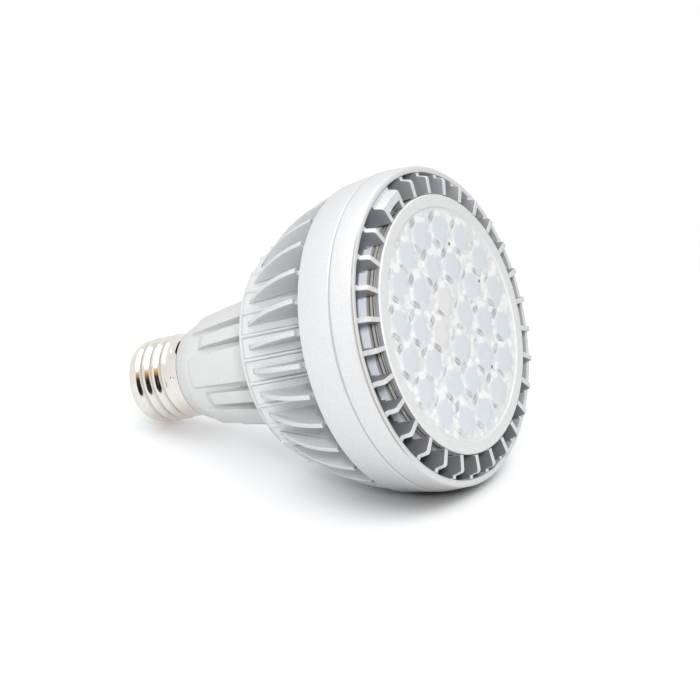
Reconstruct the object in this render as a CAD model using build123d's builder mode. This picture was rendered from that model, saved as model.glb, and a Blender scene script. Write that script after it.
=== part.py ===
"""Reflector lamp: a screw base, a finned heat sink and a plate of thirty small lenses.

The lamp's axis is +Z, with the base down and the lens plate up. The origin is the
bottom of the centre contact. Lengths are millimetres and angles are degrees.
"""

import os
from math import cos, radians, sin

from build123d import *

os.makedirs("parts", exist_ok=True)

# Fits
press_gap = 0.1
seat_gap = 0.2
screw_gap = 0.05
through_gap = 0.2

# Screw base
contact_radius = 4.8
contact_face_radius = 3.4
contact_height = 1.2
contact_stem_radius = 2.4
contact_stem_length = 2.2
insulator_height = 3.4
insulator_foot_radius = 5.3
insulator_plug_length = 1.6
lead_hole_radius = 1.0
shell_crest_radius = 13.1
shell_lip_width = 3.5
shell_lip_height = 2.5
shell_lip_round = 1.2
shell_wall = 0.5
thread_depth = 0.9
thread_pitch = 3.63
thread_crests = 4
thread_land = 0.9
skirt_length = 4.1
skirt_inset = 0.3

# Neck housing
spigot_length = 15.5
spigot_wall = 1.6
collar_step = 0.3
collar_height = 6.0
neck_radius = 15.9
neck_length = 37.5
neck_taper = 1.6
neck_wall = 2.1
panel_pairs = 6
panel_height = 2.0
panel_rise = 2.6
panel_end_gap = 7.5
wide_panel_angle = 31.0
wide_panel_start = 0.8
narrow_panel_angle = 12.5
narrow_panel_start = 3.9
narrow_panel_ramp = 3.2
flange_inset = 1.9
flange_thickness = 1.3
housing_turn = 30.0

# Lens plate and its gasket
lens_turn = 18.0
lens_ring_counts = (4, 10, 16)
lens_inner_ring_radius = 7.5
lens_ring_step = 10.2
lens_rim_width = 4.0
lens_rim_thickness = 1.5
lens_rim_chamfer = 0.4
lens_window_depth = 0.4
cell_radius = 5.2
cell_edge_gap = 1.1
cell_tip_radius = 2.5
cell_tip_gap = 0.15
cell_pocket_radius = 2.1
cell_pocket_depth = 1.6
gasket_inset = 1.1
gasket_wall = 0.8
gasket_rib_height = 0.8
gasket_rib_width = 0.5
gasket_height = 3.6

# Heat sink
core_length = 47.9
core_wall = 3.8
core_rim_chamfer = 1.5
floor_thickness = 5.3
pocket_inset = 0.9
pocket_depth = 5.9
pocket_wall = 2.3
shoulder_step = 4.0
shoulder_length = 7.0
lead_bore_radius = 3.2
blade_count = 30
blade_thickness = 1.5
blade_root = 1.0
blade_start = 3.5
blade_sagitta = 1.8
blade_shoulder_inset = 0.3
notch_length = 2.6
notch_depth = 1.7
blade_foot = 0.9
blade_slant = 0.7
blade_front_round = 1.0
blade_front_height = 3.0
ridge_width = 1.3
ridge_height = 0.8
filled_slot_width = 4.1
filled_slot_depth = 11.0
filled_slot_turn = 210.0

# Trim ring
slot_width = 7.0
ring_wall = 0.9
ring_taper = 1.4
ring_length = 19.5
ring_reach = 1.9
ring_taper_length = 13.0
ring_lip_inset = 0.3
ring_lip_chamfer = 0.7
ring_groove_width = 0.9
ring_groove_depth = 0.45
ring_groove_from_front = 7.8

# Light engine
pad_thickness = 0.3
board_thickness = 1.6
board_edge_gap = 0.6
led_size = 3.0
led_height = 0.6
phosphor_size = 2.3
phosphor_height = 0.2

# Screws
screw_radius = 1.5
screw_head_radius = 2.7
screw_head_height = 1.8
board_screw_angles = (54.0, 126.0)
board_screw_length = 5.5
flange_screw_count = 4
flange_screw_inset = 3.5
flange_screw_length = 8.0
screw_boss_wall = 2.0
screw_boss_length = 12.0

# Driver
driver_edge_gap = 1.5
driver_head_gap = 11.5
driver_thickness = 1.6
driver_offset = 4.0
rail_depth = 1.4
rail_length = 26.0
rail_lip = 1.3
capacitor_radius = 6.0
capacitor_length = 20.0
capacitor_start = 8.0
capacitor_edge = 0.8
transformer_width = 17.0
transformer_depth = 13.0
transformer_length = 15.0
transformer_from_head = 7.0
transformer_leg = 3.0
winding_overhang = 1.0
choke_radius = 4.2
choke_height = 9.0
choke_from_head = 14.0
rectifier_width = 9.0
rectifier_height = 3.0
rectifier_length = 7.0
rectifier_start = 9.0
film_capacitor_width = 12.0
film_capacitor_height = 5.5
film_capacitor_length = 9.0
film_capacitor_start = 19.0
wire_radius = 0.6
wire_bend = 2.0
wire_landing = 5.0
wire_spread = 4.0
neutral_wire_radius = 7.5
led_wire_spread = 1.6

# Levels along the axis
shell_bottom = contact_height + insulator_height
first_crest = shell_bottom + shell_lip_height
thread_end = first_crest + (thread_crests - 0.5) * thread_pitch
shell_top = thread_end + skirt_length
plug_top = shell_bottom + shell_wall + insulator_plug_length
spigot_bottom = shell_top - spigot_length
collar_top = shell_top + collar_height
flange_rear = shell_top + neck_length
core_rear = flange_rear + flange_thickness
core_front = core_rear + core_length
pocket_floor = core_front - pocket_depth
cavity_top = pocket_floor - floor_thickness
board_rear = pocket_floor + pad_thickness
board_front = board_rear + board_thickness
lens_rear = core_front + gasket_height
lens_front = lens_rear + lens_rim_thickness
lens_window_front = lens_front - lens_window_depth
ring_front = core_front + ring_reach
ring_rear = ring_front - ring_length
blade_front = ring_front + blade_front_height
driver_foot = collar_top
driver_head = cavity_top - driver_head_gap

# Radii of the face, from the lens cells out to the trim ring
lens_ring_radii = [lens_inner_ring_radius + index * lens_ring_step for index in range(len(lens_ring_counts))]
lens_window_radius = lens_ring_radii[-1] + cell_radius + cell_edge_gap
lens_rim_radius = lens_window_radius + lens_rim_width
ring_bore_radius = lens_rim_radius + slot_width
ring_rear_radius = ring_bore_radius + ring_wall
ring_radius = ring_rear_radius + ring_taper
ring_lip_radius = ring_radius - ring_lip_inset

# Radii of the heat sink, from the lens rim inwards
pocket_radius = lens_rim_radius - pocket_inset
pocket_bore_radius = pocket_radius - pocket_wall
gasket_radius = pocket_radius - gasket_inset
gasket_inner_radius = gasket_radius - gasket_wall
board_radius = pocket_bore_radius - board_edge_gap
core_radius = pocket_radius - shoulder_step
cavity_radius = core_radius - core_wall
flange_radius = core_radius - flange_inset
blade_seat_radius = ring_bore_radius - press_gap
blade_inner_radius = lens_rim_radius + seat_gap
blade_shoulder_radius = ring_bore_radius - blade_shoulder_inset
blade_pitch = 360 / blade_count

# Radii of the base and the neck
shell_lip_radius = shell_crest_radius - shell_lip_width
shell_root_radius = shell_crest_radius - thread_depth
shell_bore_radius = shell_root_radius - shell_wall
skirt_radius = shell_crest_radius - skirt_inset
spigot_radius = shell_bore_radius - press_gap
spigot_bore_radius = spigot_radius - spigot_wall
collar_radius = shell_crest_radius + collar_step
neck_bore_radius = neck_radius - neck_wall
panel_radius = neck_radius + panel_height

# Screws and driver
screw_hole_radius = screw_radius + screw_gap
screw_pass_radius = screw_radius + through_gap
board_screw_circle = (lens_ring_radii[-2] + lens_ring_radii[-1]) / 2
flange_screw_circle = cavity_radius - flange_screw_inset
driver_width = 2 * (neck_bore_radius - driver_edge_gap)
driver_length = driver_head - driver_foot
driver_face = driver_thickness / 2 - driver_offset
driver_back = -driver_thickness / 2 - driver_offset


def radial_plane(angle):
    """Plane through the lamp's axis, with its x along the radius at an angle and its y up the lamp."""
    outward = (cos(radians(angle)), sin(radians(angle)), 0)
    normal = (sin(radians(angle)), -cos(radians(angle)), 0)
    return Plane(origin=(0, 0, 0), x_dir=outward, z_dir=normal)


def lens_places():
    """Polar locations of the thirty lens cells, one ring after the other."""
    places = []
    for radius, count in zip(lens_ring_radii, lens_ring_counts):
        places += PolarLocations(radius, count, start_angle=lens_turn).locations
    return places


def board_screw_places():
    """Polar locations of the light board's screws, two on each half of the board."""
    places = []
    for angle in board_screw_angles:
        places += PolarLocations(board_screw_circle, 2, start_angle=lens_turn + angle).locations
    return places


def flange_screw_places():
    """Polar locations of the screws that hold the neck's flange to the heat sink."""
    half_step = 180 / flange_screw_count
    return PolarLocations(flange_screw_circle, flange_screw_count, start_angle=half_step).locations


# Centre contact: a dished button with a stem in the insulator
with BuildPart() as centre_contact:
    with BuildSketch(Plane.XZ):
        with BuildLine():
            Polyline(
                (0, 0),
                (contact_face_radius, 0),
                (contact_radius, contact_height / 2),
                (contact_radius, contact_height),
                (contact_stem_radius, contact_height),
                (contact_stem_radius, contact_height + contact_stem_length),
                (0, contact_height + contact_stem_length),
                close=True,
            )
        make_face()
    revolve(axis=Axis.Z)
centre_contact.part.label = "centre_contact"
export_step(centre_contact.part, "parts/centre_contact.step")

# Base insulator: a cone between the contact and the shell's lip, with a plug inside the lip
with BuildPart() as base_insulator:
    with BuildSketch(Plane.XZ):
        with BuildLine():
            Polyline(
                (lead_hole_radius, contact_height),
                (insulator_foot_radius, contact_height),
                (shell_lip_radius - press_gap, shell_bottom),
                (shell_lip_radius - press_gap, plug_top),
                (lead_hole_radius, plug_top),
                close=True,
            )
        make_face()
    revolve(axis=Axis.Z)
    with Locations((0, 0, contact_height)):
        Cylinder(
            contact_stem_radius,
            contact_stem_length,
            align=(Align.CENTER, Align.CENTER, Align.MIN),
            mode=Mode.SUBTRACT,
        )
base_insulator.part.label = "base_insulator"
export_step(base_insulator.part, "parts/base_insulator.step")

# Screw shell: a rolled sleeve with knuckle rings at the thread's pitch and a plain skirt
with BuildPart() as screw_shell:
    with BuildSketch(Plane.XZ):
        with BuildLine():
            lip_start = shell_crest_radius - shell_lip_round
            Line((shell_lip_radius, shell_bottom), (lip_start, shell_bottom))
            EllipticalCenterArc(
                (lip_start, first_crest - thread_land / 2),
                shell_lip_round,
                shell_lip_height - thread_land / 2,
                start_angle=-90,
                arc_size=90,
            )
            knuckles = []
            for index in range(thread_crests):
                crest = first_crest + index * thread_pitch
                root = crest + thread_pitch / 2
                knuckles.append((shell_crest_radius, crest - thread_land / 2))
                knuckles.append((shell_crest_radius, crest + thread_land / 2))
                knuckles.append((shell_root_radius, root - thread_land / 2))
                knuckles.append((shell_root_radius, root + thread_land / 2))
            knuckles.append((skirt_radius, thread_end + thread_pitch / 4))
            knuckles.append((skirt_radius, shell_top))
            knuckles.append((shell_bore_radius, shell_top))
            knuckles.append((shell_bore_radius, first_crest))
            knuckles.append((shell_lip_radius, shell_bottom + shell_wall))
            knuckles.append((shell_lip_radius, shell_bottom))
            Polyline(*knuckles)
        make_face()
    revolve(axis=Axis.Z)
screw_shell.part.label = "screw_shell"
export_step(screw_shell.part, "parts/screw_shell.step")

# One wide and one narrow raised panel of the neck, on the cone that they share
panel_top = flange_rear - panel_end_gap
panel_slope = panel_rise / (panel_top - (collar_top + narrow_panel_start + narrow_panel_ramp))
wide_foot = collar_top + wide_panel_start
wide_foot_radius = panel_radius - panel_slope * (narrow_panel_start + narrow_panel_ramp - wide_panel_start)
with BuildPart() as wide_panel:
    with BuildSketch(radial_plane(-wide_panel_angle / 2)):
        with BuildLine():
            Polyline(
                (neck_bore_radius + neck_wall / 2, wide_foot),
                (neck_radius, wide_foot),
                (wide_foot_radius, wide_foot + wide_panel_start),
                (panel_radius + panel_rise, panel_top),
                (neck_bore_radius + neck_wall / 2, panel_top),
                close=True,
            )
        make_face()
    revolve(axis=Axis.Z, revolution_arc=wide_panel_angle)

with BuildPart() as narrow_panel:
    with BuildSketch(radial_plane(-narrow_panel_angle / 2)):
        with BuildLine():
            Polyline(
                (neck_bore_radius + neck_wall / 2, collar_top + narrow_panel_start),
                (neck_radius, collar_top + narrow_panel_start),
                (panel_radius, collar_top + narrow_panel_start + narrow_panel_ramp),
                (panel_radius + panel_rise, panel_top),
                (neck_bore_radius + neck_wall / 2, panel_top),
                close=True,
            )
        make_face()
    revolve(axis=Axis.Z, revolution_arc=narrow_panel_angle)

# Neck housing: spigot, coned collar, panelled neck and the flange that closes the heat sink
with BuildPart() as neck_housing:
    with BuildSketch(Plane.XZ):
        with BuildLine():
            Polyline(
                (spigot_bore_radius, spigot_bottom),
                (spigot_radius, spigot_bottom),
                (spigot_radius, shell_top),
                (collar_radius, shell_top),
                (neck_radius, collar_top),
                (neck_radius + neck_taper, flange_rear),
                (flange_radius, flange_rear),
                (flange_radius, core_rear),
                (neck_bore_radius, core_rear),
                (neck_bore_radius, driver_foot),
                (spigot_bore_radius, driver_foot),
                close=True,
            )
        make_face()
    revolve(axis=Axis.Z)
    with PolarLocations(0, panel_pairs, start_angle=housing_turn):
        add(wide_panel.part)
    with PolarLocations(0, panel_pairs, start_angle=housing_turn + 180 / panel_pairs):
        add(narrow_panel.part)
    for side in (-1, 1):
        with Locations((side * (neck_bore_radius - rail_depth), -driver_offset, driver_foot)):
            Box(
                2 * rail_depth,
                driver_thickness + 2 * rail_lip,
                rail_length,
                align=(Align.CENTER, Align.CENTER, Align.MIN),
            )
    with Locations((0, -driver_offset, driver_foot)):
        Box(
            driver_width + 2 * press_gap,
            driver_thickness + 2 * press_gap,
            rail_length,
            align=(Align.CENTER, Align.CENTER, Align.MIN),
            mode=Mode.SUBTRACT,
        )
    with BuildSketch(Plane.XY.offset(flange_rear)):
        with Locations(flange_screw_places()):
            Circle(screw_pass_radius)
    extrude(amount=flange_thickness, mode=Mode.SUBTRACT)
neck_housing.part.label = "neck_housing"
export_step(neck_housing.part, "parts/neck_housing.step")

# One cooling blade: a flat plate whose edge curves out from the core, with a notch behind the ring
notch_rear = ring_rear - notch_length
notch_front = ring_rear + seat_gap
brow_radius = blade_seat_radius - blade_foot - blade_slant
with BuildPart() as blade:
    with BuildSketch(Plane.XZ) as blade_outline:
        with BuildLine():
            SagittaArc(
                (core_radius, core_rear + blade_start),
                (blade_shoulder_radius, notch_rear),
                -blade_sagitta,
            )
            Polyline(
                (blade_shoulder_radius, notch_rear),
                (blade_shoulder_radius - notch_depth, notch_rear),
                (blade_shoulder_radius - notch_depth, notch_front),
                (blade_seat_radius, notch_front),
                (blade_seat_radius, ring_front),
                (blade_seat_radius - blade_foot, ring_front),
                (brow_radius, blade_front),
                (blade_inner_radius, blade_front),
                (blade_inner_radius, core_front - blade_root),
                (pocket_radius - blade_root, core_front - blade_root),
                (pocket_radius - blade_root, pocket_floor),
                (core_radius - blade_root, pocket_floor - shoulder_length),
                (core_radius - blade_root, core_rear + blade_start),
                (core_radius, core_rear + blade_start),
            )
        make_face()
        fillet(
            blade_outline.vertices().sort_by_distance((brow_radius, blade_front))[0],
            blade_front_round,
        )
    extrude(amount=blade_thickness / 2, both=True)

# One low ridge of the core, midway between two blades
with BuildPart() as ridge:
    with BuildSketch(Plane.XY.offset(core_rear + core_rim_chamfer)):
        with BuildLine():
            Polyline(
                (core_radius - blade_root, -ridge_width / 2),
                (core_radius, -ridge_width / 2),
                (core_radius + ridge_height, -ridge_width / 4),
                (core_radius + ridge_height, ridge_width / 4),
                (core_radius, ridge_width / 2),
                (core_radius - blade_root, ridge_width / 2),
                close=True,
            )
        make_face()
    extrude(amount=pocket_floor - shoulder_length - core_rear - core_rim_chamfer)

# Heat sink: a cup open to the rear, a pocket for the light board, blades, ridges and one filled slot
filled_slot_inner_radius = blade_seat_radius - filled_slot_width
with BuildPart() as heat_sink:
    with BuildSketch(Plane.XZ):
        with BuildLine():
            Polyline(
                (cavity_radius, core_rear),
                (core_radius - core_rim_chamfer, core_rear),
                (core_radius, core_rear + core_rim_chamfer),
                (core_radius, pocket_floor - shoulder_length),
                (pocket_radius, pocket_floor),
                (pocket_radius, core_front),
                (pocket_bore_radius, core_front),
                (pocket_bore_radius, pocket_floor),
                (lead_bore_radius, pocket_floor),
                (lead_bore_radius, cavity_top),
                (cavity_radius, cavity_top),
                close=True,
            )
        make_face()
    revolve(axis=Axis.Z)
    with PolarLocations(0, blade_count):
        add(blade.part)
    with PolarLocations(0, blade_count, start_angle=blade_pitch / 2):
        add(ridge.part)
    with BuildSketch(radial_plane(filled_slot_turn - blade_pitch / 2)):
        with BuildLine():
            Polyline(
                (filled_slot_inner_radius, blade_front - filled_slot_depth),
                (blade_seat_radius, blade_front - filled_slot_depth),
                (blade_seat_radius, ring_front),
                (blade_seat_radius - blade_foot, ring_front),
                (brow_radius, blade_front),
                (filled_slot_inner_radius, blade_front),
                close=True,
            )
        make_face()
    revolve(axis=Axis.Z, revolution_arc=blade_pitch)
    with BuildSketch(Plane.XY.offset(core_rear)):
        with Locations(flange_screw_places()):
            Circle(screw_hole_radius + screw_boss_wall)
    extrude(amount=screw_boss_length)
    with BuildSketch(Plane.XY.offset(core_rear)):
        with Locations(flange_screw_places()):
            Circle(screw_hole_radius)
    extrude(amount=flange_screw_length, mode=Mode.SUBTRACT)
    with BuildSketch(Plane.XY.offset(pocket_floor)):
        with Locations(board_screw_places()):
            Circle(screw_hole_radius)
    extrude(amount=-(board_screw_length - pad_thickness - board_thickness + seat_gap), mode=Mode.SUBTRACT)
heat_sink.part.label = "heat_sink"
export_step(heat_sink.part, "parts/heat_sink.step")

# Trim ring: a coned band round the blades' seats, with one groove and a chamfered front lip
groove_centre = ring_front - ring_groove_from_front
with BuildPart() as trim_ring:
    with BuildSketch(Plane.XZ):
        with BuildLine():
            Polyline(
                (ring_bore_radius, ring_rear),
                (ring_rear_radius, ring_rear),
                (ring_radius, ring_rear + ring_taper_length),
                (ring_lip_radius, ring_front - ring_lip_chamfer),
                (ring_lip_radius - ring_lip_chamfer, ring_front),
                (ring_bore_radius, ring_front),
                close=True,
            )
        make_face()
    revolve(axis=Axis.Z)
    with BuildSketch(Plane.XZ):
        with BuildLine():
            Polyline(
                (ring_radius - ring_groove_depth, groove_centre),
                (ring_radius + ring_groove_depth, groove_centre - ring_groove_width),
                (ring_radius + ring_groove_depth, groove_centre + ring_groove_width),
                close=True,
            )
        make_face()
    revolve(axis=Axis.Z, mode=Mode.SUBTRACT)
trim_ring.part.label = "trim_ring"
export_step(trim_ring.part, "parts/trim_ring.step")

# Thermal pad under the light board
with BuildPart() as thermal_pad:
    with BuildSketch(Plane.XY.offset(pocket_floor)):
        Circle(board_radius)
        Circle(lead_bore_radius, mode=Mode.SUBTRACT)
        with Locations(board_screw_places()):
            Circle(screw_pass_radius, mode=Mode.SUBTRACT)
    extrude(amount=pad_thickness)
thermal_pad.part.label = "thermal_pad"
export_step(thermal_pad.part, "parts/thermal_pad.step")

# Light board
with BuildPart() as led_board:
    with BuildSketch(Plane.XY.offset(board_rear)):
        Circle(board_radius)
        Circle(lead_bore_radius, mode=Mode.SUBTRACT)
        with Locations(board_screw_places()):
            Circle(screw_pass_radius, mode=Mode.SUBTRACT)
    extrude(amount=board_thickness)
led_board.part.label = "led_board"
export_step(led_board.part, "parts/led_board.step")

# Light-emitting packages and the phosphor window of each
with BuildPart() as led_packages:
    with BuildSketch(Plane.XY.offset(board_front)):
        with Locations(lens_places()):
            Rectangle(led_size, led_size)
    extrude(amount=led_height)
led_packages.part.label = "led_packages"
export_step(led_packages.part, "parts/led_packages.step")

with BuildPart() as led_phosphors:
    with BuildSketch(Plane.XY.offset(board_front + led_height)):
        with Locations(lens_places()):
            Rectangle(phosphor_size, phosphor_size)
    extrude(amount=phosphor_height)
led_phosphors.part.label = "led_phosphors"
export_step(led_phosphors.part, "parts/led_phosphors.step")

# Light board screws
with BuildPart() as board_screws:
    with BuildSketch(Plane.XY.offset(board_front)):
        with Locations(board_screw_places()):
            Circle(screw_head_radius)
    extrude(amount=screw_head_height)
    with BuildSketch(Plane.XY.offset(board_front)):
        with Locations(board_screw_places()):
            Circle(screw_radius)
    extrude(amount=-board_screw_length)
board_screws.part.label = "board_screws"
export_step(board_screws.part, "parts/board_screws.step")

# Flange screws, with their heads on the rear of the flange
with BuildPart() as flange_screws:
    with BuildSketch(Plane.XY.offset(flange_rear)):
        with Locations(flange_screw_places()):
            Circle(screw_head_radius)
    extrude(amount=-screw_head_height)
    with BuildSketch(Plane.XY.offset(flange_rear)):
        with Locations(flange_screw_places()):
            Circle(screw_radius)
    extrude(amount=flange_thickness + flange_screw_length - seat_gap)
flange_screws.part.label = "flange_screws"
export_step(flange_screws.part, "parts/flange_screws.step")

# Gasket: a ring between the pocket's rim and the lens plate, with two ribs round it
with BuildPart() as lens_gasket:
    with BuildSketch(Plane.XZ):
        with BuildLine():
            rib_step = gasket_height / 3
            section = [(gasket_inner_radius, core_front), (gasket_radius, core_front)]
            for index in (1, 2):
                rib = core_front + index * rib_step
                section.append((gasket_radius, rib - gasket_rib_width))
                section.append((gasket_radius + gasket_rib_height, rib - gasket_rib_width / 2))
                section.append((gasket_radius + gasket_rib_height, rib + gasket_rib_width / 2))
                section.append((gasket_radius, rib + gasket_rib_width))
            section.append((gasket_radius, lens_rear))
            section.append((gasket_inner_radius, lens_rear))
            Polyline(*section, close=True)
        make_face()
    revolve(axis=Axis.Z)
lens_gasket.part.label = "lens_gasket"
export_step(lens_gasket.part, "parts/lens_gasket.step")

# One lens cell: a cone that gathers the light of one package, hollow at its tip
cell_tip = board_front + led_height + phosphor_height + cell_tip_gap
with BuildPart() as lens_cell:
    with BuildSketch(Plane.XZ):
        with BuildLine():
            Polyline(
                (0, cell_tip + cell_pocket_depth),
                (cell_pocket_radius, cell_tip + cell_pocket_depth),
                (cell_pocket_radius, cell_tip),
                (cell_tip_radius, cell_tip),
                (cell_radius, lens_rear),
                (cell_radius, lens_rear + lens_rim_thickness / 2),
                (0, lens_rear + lens_rim_thickness / 2),
                close=True,
            )
        make_face()
    revolve(axis=Axis.Z)

# Lens plate: one clear moulding with a plain rim, a shallow window and thirty cells behind it
with BuildPart() as lens_plate:
    with BuildSketch(Plane.XZ):
        with BuildLine():
            Polyline(
                (0, lens_rear),
                (lens_rim_radius, lens_rear),
                (lens_rim_radius, lens_front - lens_rim_chamfer),
                (lens_rim_radius - lens_rim_chamfer, lens_front),
                (lens_window_radius + lens_window_depth, lens_front),
                (lens_window_radius, lens_window_front),
                (0, lens_window_front),
                close=True,
            )
        make_face()
    revolve(axis=Axis.Z)
    with Locations(lens_places()):
        add(lens_cell.part)
lens_plate.part.label = "lens_plate"
export_step(lens_plate.part, "parts/lens_plate.step")

# Driver board, on edge in the neck's rails
with BuildPart() as driver_board:
    with Locations((0, -driver_offset, driver_foot)):
        Box(
            driver_width,
            driver_thickness,
            driver_length,
            align=(Align.CENTER, Align.CENTER, Align.MIN),
        )
driver_board.part.label = "driver_board"
export_step(driver_board.part, "parts/driver_board.step")

# Bulk capacitor, lying on the driver board
with BuildPart() as bulk_capacitor:
    with Locations((0, driver_face + capacitor_radius + press_gap, driver_foot + capacitor_start)):
        Cylinder(
            capacitor_radius,
            capacitor_length,
            align=(Align.CENTER, Align.CENTER, Align.MIN),
        )
    chamfer(bulk_capacitor.edges().filter_by(GeomType.CIRCLE), capacitor_edge)
bulk_capacitor.part.label = "bulk_capacitor"
export_step(bulk_capacitor.part, "parts/bulk_capacitor.step")

# Transformer: a ferrite frame, and the winding in its window
transformer_rear = driver_head - transformer_from_head - transformer_length
with BuildPart() as transformer_core:
    with BuildSketch(Plane.XZ.offset(-driver_face)):
        with Locations((0, transformer_rear)):
            Rectangle(transformer_width, transformer_length, align=(Align.CENTER, Align.MIN))
        with Locations((0, transformer_rear + transformer_leg)):
            Rectangle(
                transformer_width - 2 * transformer_leg,
                transformer_length - 2 * transformer_leg,
                align=(Align.CENTER, Align.MIN),
                mode=Mode.SUBTRACT,
            )
    extrude(amount=-transformer_depth)
transformer_core.part.label = "transformer_core"
export_step(transformer_core.part, "parts/transformer_core.step")

with BuildPart() as transformer_winding:
    with BuildSketch(Plane.XZ.offset(-driver_face)):
        with Locations((0, transformer_rear + transformer_leg + press_gap)):
            Rectangle(
                transformer_width - 2 * (transformer_leg + press_gap),
                transformer_length - 2 * (transformer_leg + press_gap),
                align=(Align.CENTER, Align.MIN),
            )
    extrude(amount=-(transformer_depth + winding_overhang))
transformer_winding.part.label = "transformer_winding"
export_step(transformer_winding.part, "parts/transformer_winding.step")

# Choke, rectifier and film capacitor, on the back of the driver board
with BuildPart() as filter_choke:
    with BuildSketch(Plane.XZ.offset(-driver_back)):
        with Locations((0, driver_head - choke_from_head)):
            Circle(choke_radius)
    extrude(amount=choke_height)
filter_choke.part.label = "filter_choke"
export_step(filter_choke.part, "parts/filter_choke.step")

with BuildPart() as bridge_rectifier:
    with BuildSketch(Plane.XZ.offset(-driver_back)):
        with Locations((0, driver_foot + rectifier_start)):
            Rectangle(rectifier_width, rectifier_length, align=(Align.CENTER, Align.MIN))
    extrude(amount=rectifier_height)
bridge_rectifier.part.label = "bridge_rectifier"
export_step(bridge_rectifier.part, "parts/bridge_rectifier.step")

with BuildPart() as film_capacitor:
    with BuildSketch(Plane.XZ.offset(-driver_back)):
        with Locations((0, driver_foot + film_capacitor_start)):
            Rectangle(film_capacitor_width, film_capacitor_length, align=(Align.CENTER, Align.MIN))
    extrude(amount=film_capacitor_height)
film_capacitor.part.label = "film_capacitor"
export_step(film_capacitor.part, "parts/film_capacitor.step")


def wire_run(points):
    """Insulated wire along straight runs with rounded corners."""
    with BuildPart() as run:
        with BuildLine() as route:
            FilletPolyline(*points, radius=wire_bend)
        with BuildSketch(Plane(origin=route.line @ 0, z_dir=route.line % 0)):
            Circle(wire_radius)
        sweep(path=route.line)
    return run.part


# Supply wires: from the contact's stem and from the shell's wall to the foot of the driver board
wire_lift = driver_face + wire_radius + press_gap
wire_entry = spigot_bottom + spigot_length / 2
live_wire = wire_run(
    [
        (0, 0, contact_height + contact_stem_length),
        (0, 0, wire_entry),
        (wire_spread, wire_lift, driver_foot),
        (wire_spread, wire_lift, driver_foot + wire_landing),
    ]
)
live_wire.label = "live_wire"
export_step(live_wire, "parts/live_wire.step")

neutral_level = (plug_top + spigot_bottom) / 2
neutral_wire = wire_run(
    [
        (-(shell_bore_radius - seat_gap), 0, neutral_level),
        (-neutral_wire_radius, 0, neutral_level),
        (-neutral_wire_radius, 0, wire_entry),
        (-wire_spread, wire_lift, driver_foot),
        (-wire_spread, wire_lift, driver_foot + wire_landing),
    ]
)
neutral_wire.label = "neutral_wire"
export_step(neutral_wire, "parts/neutral_wire.step")

# Light board wires: from the head of the driver board up through the heat sink's bore
for side, wire_name in ((-1, "led_wire_negative"), (1, "led_wire_positive")):
    led_wire = wire_run(
        [
            (side * led_wire_spread, wire_lift, driver_head - wire_landing),
            (side * led_wire_spread, wire_lift, driver_head),
            (side * led_wire_spread, 0, cavity_top - driver_head_gap / 2),
            (side * led_wire_spread, 0, board_front),
        ]
    )
    led_wire.label = wire_name
    export_step(led_wire, f"parts/{wire_name}.step")
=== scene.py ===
"""Reflector lamp, dressed for its portrait: silver heat sink, nickel base and a plate of small lenses."""

import logging
import math
from dataclasses import dataclass
from enum import Enum
from functools import cache, reduce
from typing import Callable, Iterable, Union

import bmesh
import bpy
from mathutils import Matrix, Vector


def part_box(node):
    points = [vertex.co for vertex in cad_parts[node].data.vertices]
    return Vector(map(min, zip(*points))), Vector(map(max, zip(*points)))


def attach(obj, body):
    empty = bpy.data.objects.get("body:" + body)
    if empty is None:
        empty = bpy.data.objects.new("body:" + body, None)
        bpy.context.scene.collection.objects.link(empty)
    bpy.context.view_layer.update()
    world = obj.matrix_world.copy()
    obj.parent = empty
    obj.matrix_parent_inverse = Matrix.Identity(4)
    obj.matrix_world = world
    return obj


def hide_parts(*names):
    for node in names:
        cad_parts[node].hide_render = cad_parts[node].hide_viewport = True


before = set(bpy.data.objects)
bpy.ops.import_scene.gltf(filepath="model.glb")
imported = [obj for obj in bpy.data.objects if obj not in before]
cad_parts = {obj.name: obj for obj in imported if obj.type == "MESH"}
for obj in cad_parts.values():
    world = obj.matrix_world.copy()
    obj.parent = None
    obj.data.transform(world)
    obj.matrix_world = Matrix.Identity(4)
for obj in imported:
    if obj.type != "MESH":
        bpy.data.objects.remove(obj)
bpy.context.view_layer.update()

LOG = logging.getLogger("lamp")
BODY = "root"
MM = 0.001
FULL_TURN = 2 * math.pi
AXIS = Vector((0.0, 0.0, 1.0))
CENTRE = Vector((0.0, 0.0, 0.0))
# Side on which light and shade are painted: a painted shade line along the ring's lip, and painted light that
# makes the gasket's ribs paler.
LIGHT_AND_SHADE_SIDE = Vector((0.09, -0.995, 0.0))

Material = bpy.types.Material
Number = Union["Value", float]
Colour = tuple[float, float, float]
Place = tuple[float, float, float]
Point = tuple[float, float]


class Kind(Enum):
    """Blender's names of the shader nodes that the finishes use."""

    BUMP = "ShaderNodeBump"
    COORDINATES = "ShaderNodeTexCoord"
    GEOMETRY = "ShaderNodeNewGeometry"
    JOIN = "ShaderNodeCombineXYZ"
    LIGHT_PATH = "ShaderNodeLightPath"
    MAPPING = "ShaderNodeMapping"
    MATHS = "ShaderNodeMath"
    MIX = "ShaderNodeMix"
    MIX_SHADER = "ShaderNodeMixShader"
    NOISE = "ShaderNodeTexNoise"
    OCCLUSION = "ShaderNodeAmbientOcclusion"
    RANGE = "ShaderNodeMapRange"
    SEE_THROUGH = "ShaderNodeBsdfTransparent"
    SPLIT = "ShaderNodeSeparateXYZ"
    VECTOR = "ShaderNodeVectorMath"
    VORONOI = "ShaderNodeTexVoronoi"


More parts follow.
